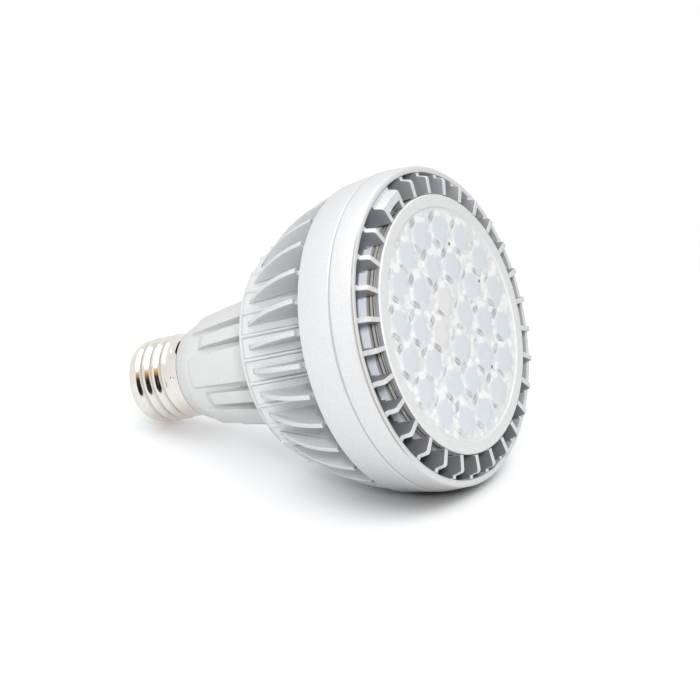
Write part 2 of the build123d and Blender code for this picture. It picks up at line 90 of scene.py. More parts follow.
class Value:
    """A number that a node gives, with arithmetic that adds Math nodes."""

    def __init__(self, bench: "Bench", socket: bpy.types.NodeSocket) -> None:
        """Keep the output socket that holds the number, and the bench that its node stands on."""
        self.bench = bench
        self.socket = socket

    def __add__(self, other: Number) -> "Value":
        """Sum."""
        return self.bench.maths("ADD", self, other)

    __radd__ = __add__

    def __sub__(self, other: Number) -> "Value":
        """Difference."""
        return self.bench.maths("SUBTRACT", self, other)

    def __rsub__(self, other: float) -> "Value":
        """Difference from a plain number."""
        return self.bench.maths("SUBTRACT", other, self)

    def __mul__(self, other: Number) -> "Value":
        """Product."""
        return self.bench.maths("MULTIPLY", self, other)

    __rmul__ = __mul__

    def __pow__(self, other: float) -> "Value":
        """Power."""
        return self.bench.maths("POWER", self, other)

    def __abs__(self) -> "Value":
        """Size without its sign."""
        return self.bench.maths("ABSOLUTE", self)


class Bench:
    """Node tree of one material or world, and the few ways in which nodes are added to it."""

    def __init__(self, name: str, world: bool = False) -> None:
        """Start a material or a world that has only its output and its shader.

        Args:
            name: Its name.
            world: Whether it is a world.
        """
        self.owner = (bpy.data.worlds if world else bpy.data.materials).new(name)
        self.owner.use_nodes = True
        self.tree = self.owner.node_tree
        self.output = next(node for node in self.tree.nodes if node.type.startswith("OUTPUT"))
        self.shader = next(node for node in self.tree.nodes if not node.type.startswith("OUTPUT"))

    def link(self, socket: bpy.types.NodeSocket, value: object) -> None:
        """Feed a socket from a value, or set it to a constant.

        Args:
            socket: The input socket.
            value: A Value, a number, or a colour or vector of numbers.
        """
        if isinstance(value, Value):
            self.tree.links.new(value.socket, socket)
        elif socket.type == "RGBA" and len(value) == 3:
            socket.default_value = (*value, 1.0)
        else:
            socket.default_value = value

    def node(self, kind: Kind, settings: dict | None = None, inputs: dict | None = None,
             output: Union[int, str] = 0) -> Value:
        """Add one node.

        Args:
            kind: The node's type.
            settings: Properties that are set before its sockets.
            inputs: Values or links of its sockets, by name or number.
            output: The output that is wanted, by name or number.

        Returns:
            That output.
        """
        node = self.tree.nodes.new(kind.value)
        for name, setting in (settings or {}).items():
            setattr(node, name, setting)
        for name, value in (inputs or {}).items():
            self.link(node.inputs[name], value)
        return Value(self, node.outputs[output])

    def maths(self, operation: str, *terms: Number) -> Value:
        """Add one Math node."""
        return self.node(Kind.MATHS, {"operation": operation}, dict(enumerate(terms)))

    def vector(self, operation: str, *terms: object) -> Value:
        """Add one Vector Math node, and give its number where the operation makes one."""
        output = "Value" if operation in ("DISTANCE", "DOT_PRODUCT", "LENGTH") else "Vector"
        return self.node(Kind.VECTOR, {"operation": operation}, dict(enumerate(terms)), output)

    def extreme(self, operation: str, values: Iterable[Value]) -> Value:
        """Largest or smallest of several values, as the operation says."""
        return reduce(lambda one, two: self.maths(operation, one, two), values)

    def part(self, vector: Value, axis: str) -> Value:
        """One of a vector's three numbers."""
        return self.node(Kind.SPLIT, None, {0: vector}, output=axis)

    def place(self) -> Value:
        """Object coordinates."""
        return self.node(Kind.COORDINATES, output="Object")

    def radius(self) -> Value:
        """Distance from the lamp's axis."""
        east, north = (self.part(self.place(), axis) for axis in "XY")
        return (east * east + north * north) ** 0.5

    def height(self) -> Value:
        """Height above the lamp's origin."""
        return self.part(self.place(), "Z")

    def facing(self) -> Value:
        """How far the surface faces along the lamp's axis: 1 toward its front, 0 to the side."""
        return self.part(self.node(Kind.COORDINATES, output="Normal"), "Z")

    def toward(self, direction: Vector) -> Value:
        """How far a place lies along a direction from the origin."""
        return self.vector("DOT_PRODUCT", self.place(), direction)

    def away(self, point: Vector) -> Value:
        """Distance from a point."""
        return self.vector("DISTANCE", self.node(Kind.GEOMETRY, output="Position"), point)

    def noise(self, size: float, detail: float = 2.0, stretch: Vector = Vector((1, 1, 1))) -> Value:
        """Smooth noise from 0 to 1, in blots of a size in metres, with finer layers and a scale by axis."""
        where = self.node(Kind.MAPPING, None, {"Vector": self.place(), "Scale": stretch})
        return self.node(Kind.NOISE, None, {"Vector": where, "Scale": 1 / size, "Detail": detail})

    def ramp(self, value: Value, low: float, high: float, before: float = 0.0, after: float = 1.0) -> Value:
        """Smooth step of a value between two limits, from the result before them to the one after."""
        limits = {"From Min": low, "From Max": high, "To Min": before, "To Max": after}
        return self.node(Kind.RANGE, {"interpolation_type": "SMOOTHSTEP"}, {"Value": value, **limits})

    def line(self, value: Value, middle: float, half: Point) -> Value:
        """Share of a line: 1 where a value is at its middle, fading out between two half-widths."""
        return self.ramp(abs(value - middle), *half, 1.0, 0.0)

    def blend(self, factor: Value, first: object, second: object) -> Value:
        """Mix two colours, fixed or from nodes, by the share of the second."""
        settings = {"data_type": "RGBA", "clamp_factor": True}
        return self.node(Kind.MIX, settings, {0: factor, 6: first, 7: second}, output=2)

    def relief(self, height: Value, depth: float) -> Value:
        """Bumped normal of a height from 0 to 1, with the relief's real depth in metres."""
        inputs = {"Height": height, "Distance": depth, "Strength": 1.0}
        return self.node(Kind.BUMP, None, inputs, output="Normal")

    def shade(self, **values: object) -> None:
        """Set the shader's sockets, named with underscores for spaces."""
        for name, value in values.items():
            self.link(self.shader.inputs[name.replace("_", " ")], value)


@dataclass(frozen=True)
class SlotShadeAndLight:
    """Painted shade on the blades' sides between the blades inside the ring, and painted light on the wall of
    the core behind them.

    Fields are the height above which and the radius inside which the slots lie, the painted shade of the
    blades' sides away from the floor and toward it, the wall's painted light, the radii between which it lies
    and the height down to which it is bright. Then come the slopes between which a face stops being a side,
    and the lengths over which the slots darken and end, and over which the wall's edges and its depth fade.
    """

    bottom: float
    radius: float
    side: Colour
    darker_side_shade: Colour
    wall: Colour
    wall_radii: Point
    wall_bottom: float
    slope: Point = (0.03, 0.15)
    darken: float = 4.0 * MM
    end: float = 0.3 * MM
    wall_edge: float = 0.1 * MM
    wall_fade: float = 0.6 * MM

    def tone(self, bench: Bench) -> Value:
        """Painted shade on the blades' sides, darker across the lamp toward the side that lies on the floor.
        """
        across = bench.part(bench.place(), "X")
        return bench.blend(bench.ramp(across, -self.radius, self.radius), self.side, self.darker_side_shade)

    def masks(self, bench: Bench) -> tuple[Value, Value]:
        """Find the blades' sides in the slots, and the wall of the core.

        Args:
            bench: The bench of the material.

        Returns:
            The share of a side and the share of the wall.
        """
        height, radius = bench.height(), bench.radius()
        side = bench.ramp(bench.facing(), *self.slope, 1.0, 0.0)
        within = bench.ramp(radius, self.radius - self.end, self.radius, 1.0, 0.0)
        deep = bench.ramp(height, self.bottom, self.bottom + self.darken)
        inner, outer = self.wall_radii
        past_inner = bench.ramp(radius, inner, inner + self.wall_edge)
        on_wall = past_inner * bench.ramp(radius, outer, outer + self.wall_edge, 1.0, 0.0)
        # Painted light: the wall is bright only above this height.
        lit = bench.ramp(height, self.wall_bottom, self.wall_bottom + self.wall_fade)
        return side * within * deep, side * on_wall * lit


@dataclass(frozen=True)
class RingShade:
    """Painted shade in the trim ring's groove, and a painted shade line along the inner edge of the ring's
    lip.

    Fields are the groove shade's height and the radius outside which it lies, the lip line's radius and the
    height above which it lies, the half-widths between which the groove shade fades and its tone. Then come
    the lip line's half-widths, the shares of its radius between which it sets in toward the side on which
    light and shade are painted, the size of its patches and its tone, and for both their strength and the
    length over which they begin.
    """

    groove_shade: float
    groove_shade_radius: float
    lip_radius: float
    lip_above: float
    groove_shade_half: Point = (0.15 * MM, 0.4 * MM)
    groove_shade_tone: Colour = (0.40, 0.40, 0.41)
    lip_half: Point = (0.06 * MM, 0.28 * MM)
    lip_start: Point = (0.60, 0.82)
    lip_patch: float = 16.0 * MM
    lip_shade_tone: Colour = (0.30, 0.27, 0.24)
    strength: float = 0.8
    soft: float = 0.2 * MM

    def over(self, bench: Bench, paint: Value) -> Value:
        """Lay the painted shade over the paint.

        Args:
            bench: The bench of the material.
            paint: The paint's colour.

        Returns:
            The shaded colour.
        """
        height, radius = bench.height(), bench.radius()
        # Painted shade in the ring's groove.
        groove_shade = bench.line(height, self.groove_shade, self.groove_shade_half)
        groove_shade = groove_shade * bench.ramp(radius, self.groove_shade_radius, self.groove_shade_radius + self.soft)
        paint = bench.blend(groove_shade * self.strength, paint, self.groove_shade_tone)
        # Painted shade: a dark line along the lip's inner edge, toward one side only, broken into patches.
        lip = bench.line(radius, self.lip_radius, self.lip_half)
        lip = lip * bench.ramp(height, self.lip_above - self.soft / 2, self.lip_above + self.soft / 2)
        start, end = (share * self.lip_radius for share in self.lip_start)
        lip = lip * bench.ramp(bench.toward(LIGHT_AND_SHADE_SIDE), start, end)
        lip = lip * bench.ramp(bench.noise(self.lip_patch), 0.34, 0.50)
        return bench.blend(lip * self.strength, paint, self.lip_shade_tone)


@dataclass(frozen=True)
class SilverPaint:
    """Satin silver paint with a fine sandy grain.

    Fields are the paint's pale and dark tones, its metallic share, its roughness, the size and depth of its
    grain, the size of its clouds, the height below which the casting is painted near-black as shade in the
    joint's gap, that tone and half the width of that border, the painted shade and light in the slots of the
    face, and the painted shade on the ring.
    """

    name: str
    pale: Colour
    dark: Colour
    metallic: float
    roughness: float
    grain: float = 0.45 * MM
    grain_depth: float = 0.02 * MM
    cloud: float = 9.0 * MM
    gap_shade_below: float = -1.0
    gap_shade: Colour = (0.012, 0.012, 0.012)
    border: float = 0.1 * MM
    slot: SlotShadeAndLight | None = None
    ring_shade: RingShade | None = None

    def material(self) -> Material:
        """Build the material."""
        bench = Bench(self.name)
        grain = bench.noise(self.grain, detail=3.0)
        cloud = bench.noise(self.cloud)
        speck = bench.ramp(grain, 0.35, 0.68)
        paint = bench.blend(speck * 0.7 + cloud * 0.3, self.dark, self.pale)
        metallic: Number = self.metallic
        # Painted shade in the ring's groove and along its lip.
        if self.ring_shade is not None:
            paint = self.ring_shade.over(bench, paint)
        # Painted shade on the slots' blade sides, and painted light on the core's wall, which is not
        # metallic.
        if self.slot is not None:
            side, wall = self.slot.masks(bench)
            paint = bench.blend(wall, bench.blend(side, paint, self.slot.tone(bench)), self.slot.wall)
            metallic = wall * -self.metallic + self.metallic
        # Painted shade: below this height the spigot inside the joint is near-black, so the gap between shell
        # and neck reads dark.
        painted = bench.ramp(bench.height(), self.gap_shade_below - self.border, self.gap_shade_below + self.border)
        rough, fine = self.roughness + 0.08, self.roughness - 0.05
        bench.shade(
            Base_Color=bench.blend(painted, self.gap_shade, paint),
            Metallic=metallic,
            Roughness=bench.ramp(grain + cloud * 0.4, 0.4, 1.0, rough, fine),
            Normal=bench.relief(grain, self.grain_depth),
        )
        return bench.owner


@dataclass(frozen=True)
class NickelPlate:
    """Bright nickel over brass, with faint smudges, rolling lines and a duller thread.

    Fields are its tone, the tone of its tarnish, its roughness, the radii of the thread's root and crest, the
    size of its smudges, and the size, stretch and depth of its rolling lines.
    """

    name: str
    colour: Colour
    tarnish: Colour
    roughness: float
    root: float
    crest: float
    smudge: float = 3.0 * MM
    rolling: float = 0.5 * MM
    rolling_stretch: Place = (0.15, 0.15, 3.0)
    rolling_depth: float = 0.006 * MM

    def material(self) -> Material:
        """Build the material."""
        bench = Bench(self.name)
        smudge = bench.ramp(bench.noise(self.smudge, detail=4.0), 0.45, 0.75)
        rolling = bench.noise(self.rolling, stretch=Vector(self.rolling_stretch))
        dull = bench.ramp(bench.radius(), self.root, self.crest, 0.55, 0.0)
        bench.shade(
            Base_Color=bench.blend(smudge * 0.2 + dull, self.colour, self.tarnish),
            Metallic=1.0,
            Roughness=smudge * 0.10 + self.roughness,
            Normal=bench.relief(rolling, self.rolling_depth),
        )
        return bench.owner


@dataclass(frozen=True)
class Spot:
    """Soft-edged oval on the lens plate: a painted dark reflection, a painted glint, a warm cell or a fleck.

    Fields are its place from the middle of its cell or of the plate, its turn in degrees, half its length,
    half its width and its strength along its middle line.
    """

    place: Point
    turn: float
    length: float
    width: float
    middle: float = 1.0

    def mask(self, bench: Bench, local: Value) -> Value:
        """Share of the spot at a place.

        Args:
            bench: The bench of the material.
            local: Place from the middle of the cell or of the plate.

        Returns:
            The share, 1 inside the spot and 0 outside it.
        """
        unit = bench.node(Kind.MAPPING, {"vector_type": "TEXTURE"}, {
            "Vector": local,
            "Location": (*self.place, 0.0),
            "Rotation": (0.0, 0.0, math.radians(self.turn)),
            "Scale": (self.length, self.width, 1.0),
        })
        inside = bench.ramp(bench.vector("LENGTH", unit), 0.45, 1.05, 1.0, 0.0)
        return inside * bench.ramp(abs(bench.part(unit, "Y")), 0.05, 0.3, self.middle, 1.0)


@dataclass(frozen=True)
class LensPlastic:
    """Lens plastic: bluish cells with painted glints and painted dark reflections at their edges, in a pale
    net with painted sparkle, and a frosted rim.

    Fields are the tones of a cell, of the net, of a painted dark reflection, of a painted glint, of the rim
    where it is pale and dim, of the painted shade on the plate's outer side, of a warm cell and of a fleck,
    and the share of light that goes through. Then come the window's radius, the rings of cells as radius and
    count, their turn in degrees, the radius and the relief of one cell, the size of the net's painted
    sparkle, and the painted dark reflections and glints of each cell, the cells that look warm and the dark
    flecks between cells.
    """

    name: str
    cell: Colour = (0.735, 0.77, 0.815)
    net: Colour = (0.775, 0.79, 0.805)
    dark_reflection: Colour = (0.33, 0.34, 0.37)
    glint: Colour = (0.96, 0.96, 0.96)
    frost: Colour = (0.805, 0.815, 0.815)
    frost_dim: Colour = (0.765, 0.775, 0.775)
    edge: Colour = (0.34, 0.35, 0.36)
    warm: Colour = (0.84, 0.83, 0.795)
    fleck: Colour = (0.16, 0.16, 0.17)
    clear: float = 0.18
    window_radius: float = 34.2 * MM
    rings: tuple[tuple[float, int], ...] = ((7.5 * MM, 4), (17.7 * MM, 10), (27.9 * MM, 16))
    turn: float = 18.0
    cell_radius: float = 5.2 * MM
    cell_depth: float = 0.30 * MM
    facet: float = 2.0 * MM
    dark_reflections: tuple[Spot, ...] = (
        Spot((-3.86 * MM, -3.75 * MM), 133.0, 2.7 * MM, 1.35 * MM, 0.55),
        Spot((3.83 * MM, -3.26 * MM), 58.0, 2.8 * MM, 1.35 * MM, 0.55),
    )
    glints: tuple[Spot, ...] = (
        Spot((-4.7 * MM, 0.1 * MM), 90.0, 2.2 * MM, 1.3 * MM),
        Spot((2.04 * MM, -5.2 * MM), 30.0, 1.7 * MM, 1.2 * MM),
    )
    warm_cells: tuple[Spot, ...] = (
        Spot((-7.1 * MM, -2.3 * MM), 0.0, 5.0 * MM, 5.0 * MM),
        Spot((2.3 * MM, -7.1 * MM), 0.0, 5.0 * MM, 5.0 * MM),
    )
    flecks: tuple[Spot, ...] = (
        Spot((-23.3 * MM, 5.8 * MM), 0.0, 0.7 * MM, 0.7 * MM),
        Spot((-11.5 * MM, 18.8 * MM), 0.0, 0.7 * MM, 0.7 * MM),
        Spot((14.1 * MM, 17.4 * MM), 0.0, 0.7 * MM, 0.7 * MM),
    )

    def cell_places(self, bench: Bench, flat: Value) -> list[Value]:
        """Places from the middle of the nearest cell, for each ring of cells.

        Args:
            bench: The bench of the material.
            flat: Flat place on the plate.

        Returns:
            One flat vector per ring.
        """
        turn = math.radians(self.turn)
        angle = bench.maths("ARCTAN2", bench.part(flat, "Y"), bench.part(flat, "X")) - turn
        places = []
        for radius, count in self.rings:
            half = math.pi / count
            spoke = angle - bench.maths("WRAP", angle, half, -half) + turn
            middle = bench.node(Kind.JOIN, None, {
                "X": bench.maths("COSINE", spoke) * radius,
                "Y": bench.maths("SINE", spoke) * radius,
            })
            places.append(bench.vector("SUBTRACT", flat, middle))
        return places

    def most(self, bench: Bench, places: list[Value], spots: tuple[Spot, ...]) -> Value:
        """Largest share of any of several spots, at places from the middles of the cells."""
        return bench.extreme("MAXIMUM", [spot.mask(bench, local) for local in places for spot in spots])

    def window(self, bench: Bench, flat: Value, places: list[Value], away: Value) -> Value:
        """Colour inside the window.

        Args:
            bench: The bench of the material.
            flat: Flat place on the plate.
            places: Places from the middles of the cells.
            away: Distance from the nearest cell's middle.

        Returns:
            The colour of the cells, the net and the spots on them.
        """
        wobble = (bench.noise(2.2 * MM, detail=1.0) - 0.5) * (0.7 * self.cell_radius)
        inside = bench.ramp(away + wobble, 0.66 * self.cell_radius, 0.90 * self.cell_radius, 1.0, 0.0)
        # Painted sparkle: random cells of the net are paler, toward the glint's white.
        sparkle_cells = bench.node(Kind.VORONOI, None, {"Vector": flat, "Scale": 1 / self.facet}, output="Color")
        net = bench.blend(bench.ramp(bench.part(sparkle_cells, "X"), 0.30, 0.95), self.net, self.glint)
        cloud = bench.noise(3.0 * MM)
        streak = bench.ramp(bench.noise(0.5 * MM, detail=1.0), 0.35, 0.6, 0.55, 1.0)
        patch = bench.ramp(bench.noise(5.0 * MM, detail=1.0), 0.36, 0.58, 0.40, 1.0)
        tone = bench.blend(inside * (cloud * 0.5 + 0.7), net, self.cell)
        tone = bench.blend(self.most(bench, [flat], self.warm_cells) * 0.8, tone, self.warm)
        # Painted highlights on the cells' upper sides.
        tone = bench.blend(self.most(bench, places, self.glints) * 0.9, tone, self.glint)
        # Painted dark reflections at the cells' edges, streaked and in patches.
        tone = bench.blend(self.most(bench, places, self.dark_reflections) * (streak * patch), tone, self.dark_reflection)
        return bench.blend(self.most(bench, [flat], self.flecks), tone, self.fleck)

    def material(self) -> Material:
        """Build the material."""
        bench = Bench(self.name)
        flat = bench.vector("MULTIPLY", bench.place(), (1.0, 1.0, 0.0))
        places = self.cell_places(bench, flat)
        away = bench.extreme("MINIMUM", [bench.vector("LENGTH", local) for local in places])
        dome = bench.ramp(away, 0.55 * self.cell_radius, 1.1 * self.cell_radius, 1.0, 0.0)
        rim = bench.ramp(bench.radius(), self.window_radius - 0.9 * MM, self.window_radius + 0.1 * MM)
        mottle = bench.ramp(bench.noise(1.5 * MM, detail=4.0), 0.36, 0.64)
        frosted = bench.blend(mottle, self.frost_dim, self.frost)
        face = bench.blend(rim, self.window(bench, flat, places, away), frosted)
        grain = bench.noise(0.35 * MM)
        bench.shade(
            # Painted shade: faces that don't face the front, such as the plate's outer side, take the dark
            # edge tone.
            Base_Color=bench.blend(bench.ramp(bench.facing(), 0.1, 0.3, 1.0, 0.0), face, self.edge),
            Roughness=rim * 0.4 + 0.08,
            IOR=1.49,
            Transmission_Weight=self.clear,
            Normal=bench.relief(dome * (1.0 - rim) + rim * grain * 0.06, self.cell_depth),
        )
        return bench.owner


@dataclass(frozen=True)
class Moulded:
    """Moulded, coated or cast material with slight mottling: for the pieces that hardly show.

    Fields are its pale and dark tones, its roughness, its metallic share, and its grain's size and depth.
    """

    name: str
    pale: Colour
    dark: Colour
    roughness: float
    metallic: float = 0.0
    grain: float = 0.6 * MM
    depth: float = 0.02 * MM

    def tone(self, bench: Bench, grain: Value) -> Value:
        """Mottled colour."""
        return bench.blend(grain, self.dark, self.pale)

    def material(self) -> Material:
        """Build the material."""
        bench = Bench(self.name)
        grain = bench.noise(self.grain, detail=3.0)
        bench.shade(
            Base_Color=self.tone(bench, grain),
            Metallic=self.metallic,
            Roughness=grain * 0.16 + (self.roughness - 0.08),
            Normal=bench.relief(grain, self.depth),
        )
        return bench.owner


@dataclass(frozen=True)
class RibbedRubber(Moulded):
    """Dark rubber with ribs painted paler on one side, as painted light.

    More fields are the radius past which a rib starts, the length over which it pales, the shares of that
    radius between which the painted light sets in, the share of it that is left elsewhere, and the ribs'
    painted lit tone.
    """

    rib_radius: float = 36.5 * MM
    rib_edge: float = 0.3 * MM
    lit_rib_start: Point = (0.42, 0.68)
    unlit_rib: float = 0.12
    lit_rib: Colour = (0.50, 0.485, 0.46)

    def tone(self, bench: Bench, grain: Value) -> Value:
        """Mottled colour, with painted light making the ribs paler on one side.

        Args:
            bench: The bench of the material.
            grain: The mottling, from 0 to 1.

        Returns:
            The colour.
        """
        rib = bench.ramp(bench.radius(), self.rib_radius, self.rib_radius + self.rib_edge)
        start, end = (share * self.rib_radius for share in self.lit_rib_start)
        # Painted light: the ribs are paler toward the lit side.
        rib = rib * bench.ramp(bench.toward(LIGHT_AND_SHADE_SIDE), start, end, self.unlit_rib, 1.0)
        return bench.blend(rib, super().tone(bench, grain), self.lit_rib)


def add(name: str, data: bpy.types.ID) -> bpy.types.Object:
    """Put a new object into the scene."""
    obj = bpy.data.objects.new(name, data)
    bpy.context.scene.collection.objects.link(obj)
    return obj


class Shaper:
    """A bmesh in the making, and the operators that shape it."""

    def __init__(self, source: bpy.types.Mesh | None = None) -> None:
        """Start empty, or from a merged copy of a mesh.

        Args:
            source: Mesh of a CAD node.
        """
        self.bm = bmesh.new()
        if source is not None:
            self.bm.from_mesh(source)
            bmesh.ops.remove_doubles(self.bm, verts=self.bm.verts[:], dist=0.002 * MM)

    def turn(self, profile: Iterable[Point], steps: int, closed: bool = True) -> "Shaper":
        """Spin a profile of radius and height round the lamp's axis.

        Args:
            profile: Points as radius and height, in metres.
            steps: Facets in the full turn.
            closed: Whether the last point joins the first.

        Returns:
            The shaper.
        """
        corners = [self.bm.verts.new((radius, 0.0, height)) for radius, height in profile]
        pairs = list(zip(corners, corners[1:]))
        if closed:
            pairs.append((corners[-1], corners[0]))
        edges = [self.bm.edges.new(pair) for pair in pairs]
        bmesh.ops.spin(
            self.bm, geom=corners + edges, cent=CENTRE, axis=AXIS, angle=FULL_TURN, steps=steps,
            use_merge=True,
        )
        bmesh.ops.remove_doubles(self.bm, verts=self.bm.verts[:], dist=0.001 * MM)
        bmesh.ops.recalc_face_normals(self.bm, faces=self.bm.faces[:])
        return self

    def soften(self, width: float, segments: int = 2, sharper_than: float = 30.0,
               spare: Callable[[Vector], bool] = lambda place: False) -> "Shaper":
        """Round the sharp edges.

        Args:
            width: Width of the rounding, in metres.
            segments: Facets across the rounding.
            sharper_than: Angle in degrees past which an edge counts as sharp.
            spare: Tells for the middle of an edge whether the edge stays as it is.

        Returns:
            The shaper.
        """
        limit = math.radians(sharper_than)
        sharp = [
            edge for edge in self.bm.edges
            if edge.is_manifold and edge.calc_face_angle(0.0) > limit
            and not spare((edge.verts[0].co + edge.verts[1].co) / 2)
        ]
        bmesh.ops.bevel(
            self.bm, geom=sharp, offset=width, offset_type="OFFSET", affect="EDGES", segments=segments,
            profile=0.5, material=-1, clamp_overlap=False,
        )
        return self

    def flatten(self, angle: float = 0.5) -> "Shaper":
        """Join the flat triangles of a CAD face into one face, up to an angle in degrees."""
        bmesh.ops.dissolve_limit(
            self.bm, angle_limit=math.radians(angle), verts=self.bm.verts[:], edges=self.bm.edges[:]
        )
        return self

    def move(self, rule: Callable[[Vector], Vector]) -> "Shaper":
        """Move every vertex to the place that a rule gives for it."""
        for vertex in self.bm.verts:
            vertex.co = rule(vertex.co)
        return self

    def thing(self, name: str, material: Material) -> bpy.types.Object:
        """Finish the mesh as an object of the scene.

        Args:
            name: The object's name.
            material: Its material.

        Returns:
            The object.
        """
        mesh = bpy.data.meshes.new(name)
        self.bm.to_mesh(mesh)
        self.bm.free()
        mesh.materials.append(material)
        return add(name, mesh)

    def piece(self, name: str, material: Material, slot: str, node: str,
              smooth_angle: float = 35.0) -> None:
        """Finish the mesh as a piece of the lamp.

        Args:
            name: The piece's name.
            material: Its material.
            slot: Not used.
            node: The CAD node that it stands for.
            smooth_angle: Angle in degrees up to which neighbouring faces shade as one.
        """
        obj = self.thing(name, material)
        carried = obj.data.attributes.get("custom_normal")
        if carried is not None:
            obj.data.attributes.remove(carried)
        obj.data.shade_smooth()
        obj.data.set_sharp_from_angle(angle=math.radians(smooth_angle))
        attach(obj, BODY)
        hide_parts(node)
        LOG.info("%s: %d faces", name, len(obj.data.polygons))


def dress(node: str, material: Material) -> None:
    """Give a CAD node its material.

    Args:
        node: The node's name.
        material: The material.
    """
    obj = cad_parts[node]
    if obj.material_slots:
        for slot in obj.material_slots:
            slot.material = material
    else:
        obj.data.materials.append(material)
    LOG.info("%s: dressed", node)


@cache
def span(node: str) -> tuple[Vector, Vector]:
    """Opposite corners of a CAD node's box, measured once."""
    low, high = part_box(node)
    return Vector(low), Vector(high)


def top(node: str) -> float:
    """Height of a CAD node's upper end."""
    return span(node)[1].z


def bottom(node: str) -> float:
    """Height of a CAD node's lower end."""
    return span(node)[0].z


def reach(node: str) -> float:
    """Largest radius of a round CAD node."""
    return span(node)[1].x


def smooth(low: float, high: float, value: float) -> float:
    """Smooth step from 0 to 1 of a value between two limits."""
    share = min(1.0, max(0.0, (value - low) / (high - low)))
    return share * share * (3 - 2 * share)


@dataclass
class ScrewBase:
    """Nickel screw shell with its rolled thread, the black insulator and the centre contact."""

    pitch: float = 3.63 * MM
    thread_depth: float = 0.9 * MM
    thread_phase: float = 3.79
    skirt_radius: float = 12.8 * MM
    skirt_length: float = 4.1 * MM
    lip_radius: float = 9.6 * MM
    lip_height: float = 2.5 * MM
    lip_round: float = 1.2 * MM
    wall: float = 0.5 * MM
    joint_gap: float = 0.35 * MM
    wedge_gap: float = 0.9 * MM
    wedge_turn: Point = (211.0, 241.0)
    dimples: tuple[Point, ...] = ((231.0, 2.0 * MM), (271.0, 2.0 * MM))
    dimple_radius: float = 0.9 * MM
    dimple_depth: float = 0.5 * MM
    rows: int = 150
    steps: int = 288
    insulator_bore: float = 1.0 * MM
    insulator_mouth: float = 5.3 * MM
    insulator_edge: float = 0.15 * MM
    insulator_steps: int = 96
    flare_rows: int = 8
    flare_power: float = 1.4
    contact_dish: tuple[Point, ...] = (
        (0.0, 0.0), (1.2 * MM, 0.05 * MM), (1.6 * MM, 0.35 * MM), (2.6 * MM, 0.30 * MM), (3.4 * MM, 0.15 * MM)
    )
    contact_round: float = 0.3 * MM
    contact_stem: float = 2.4 * MM
    contact_steps: int = 64

    def radius_at(self, height: float, angle: float) -> float:
        """Radius of the rolled shell.

        Args:
            height: Height above the origin.
            angle: Angle round the axis.

        Returns:
            The radius of its outside.
        """
        low = bottom("screw_shell")
        end = top("screw_shell") - self.skirt_length
        middle = reach("screw_shell") - self.thread_depth / 2
        start_fade = smooth(low + 0.6 * self.lip_height, low + 1.5 * self.lip_height, height)
        end_fade = 1 - smooth(end - 0.6 * self.pitch, end + 0.25 * self.pitch, height)
        turns = (height - low - self.lip_height) / self.pitch - angle / FULL_TURN
        wave = math.cos(FULL_TURN * turns + self.thread_phase) * self.thread_depth / 2
        plain = middle + (self.skirt_radius - middle) * (1 - end_fade)
        body = plain + wave * start_fade * end_fade
        rise = min(1.0, (height - low) / self.lip_height)
        body -= self.lip_round * (1 - math.sqrt(max(0.0, 1 - (1 - rise) ** 2)))
        for turn, below in self.dimples:
            aside = (angle - math.radians(turn) + math.pi) % FULL_TURN - math.pi
            away = math.hypot(aside * body, height - top("screw_shell") + below)
            body -= self.dimple_depth * (1 - smooth(0.3 * self.dimple_radius, self.dimple_radius, away))
        return body

    def joint_drop(self, angle: float) -> float:
        """Gap between the skirt's edge and the neck: a fine line that opens to a wedge on one side.

        Args:
            angle: Angle round the axis, in degrees.

        Returns:
            The gap.
        """
        start, end = self.wedge_turn
        middle, half = (start + end) / 2, (end - start) / 2
        return self.joint_gap + self.wedge_gap * (1 - smooth(0.55, 1.0, abs(angle % 360 - middle) / half))

    def shell(self, material: Material) -> None:
        """Make the shell.

        Args:
            material: Its nickel.
        """
        low, high = bottom("screw_shell"), top("screw_shell")
        bore = self.skirt_radius - 2 * self.wall
        heights = [low + (high - low) * row / self.rows for row in range(self.rows + 1)]
        outer = [(self.skirt_radius, height) for height in heights]
        inner = [(bore, high), (bore, low + self.lip_height), (self.lip_radius, low + self.wall),
                 (self.lip_radius, low)]

        def roll(place: Vector) -> Vector:
            """Move a vertex of the outside to the rolled thread, and the skirt's edge down to the joint.

            Args:
                place: The vertex's place on the plain shell.

            Returns:
                Its new place.
            """
            radius = math.hypot(place.x, place.y)
            angle = math.atan2(place.y, place.x)
            share = max(0.0, 1 - (high - place.z) / self.skirt_length)
            lowered = place.z - self.joint_drop(math.degrees(angle)) * share
            if abs(radius - self.skirt_radius) > 0.1 * MM:
                return Vector((place.x, place.y, lowered))
            scale = self.radius_at(place.z, angle) / radius
            return Vector((place.x * scale, place.y * scale, lowered))

        shaper = Shaper().turn(outer + inner, self.steps).move(roll)
        shaper.piece("screw_shell_rolled", material, "nickel_plate", "screw_shell")

    def insulator(self, material: Material) -> None:
        """Make the insulator, which flares from the contact to the shell's lip.

        Args:
            material: Its black glass.
        """
        low, high = bottom("base_insulator"), top("base_insulator")
        wide, lip = reach("base_insulator"), bottom("screw_shell")
        spread = wide - self.insulator_mouth
        shares = [row / self.flare_rows for row in range(self.flare_rows + 1)]
        flare = [
            (self.insulator_mouth + spread * share ** self.flare_power, low + (lip - low) * share)
            for share in shares
        ]
        profile = [(self.insulator_bore, low), *flare, (wide, high), (self.insulator_bore, high)]
        shaper = Shaper().turn(profile, self.insulator_steps).soften(self.insulator_edge)
        shaper.piece("base_insulator_flared", material, "black_insulator", "base_insulator")

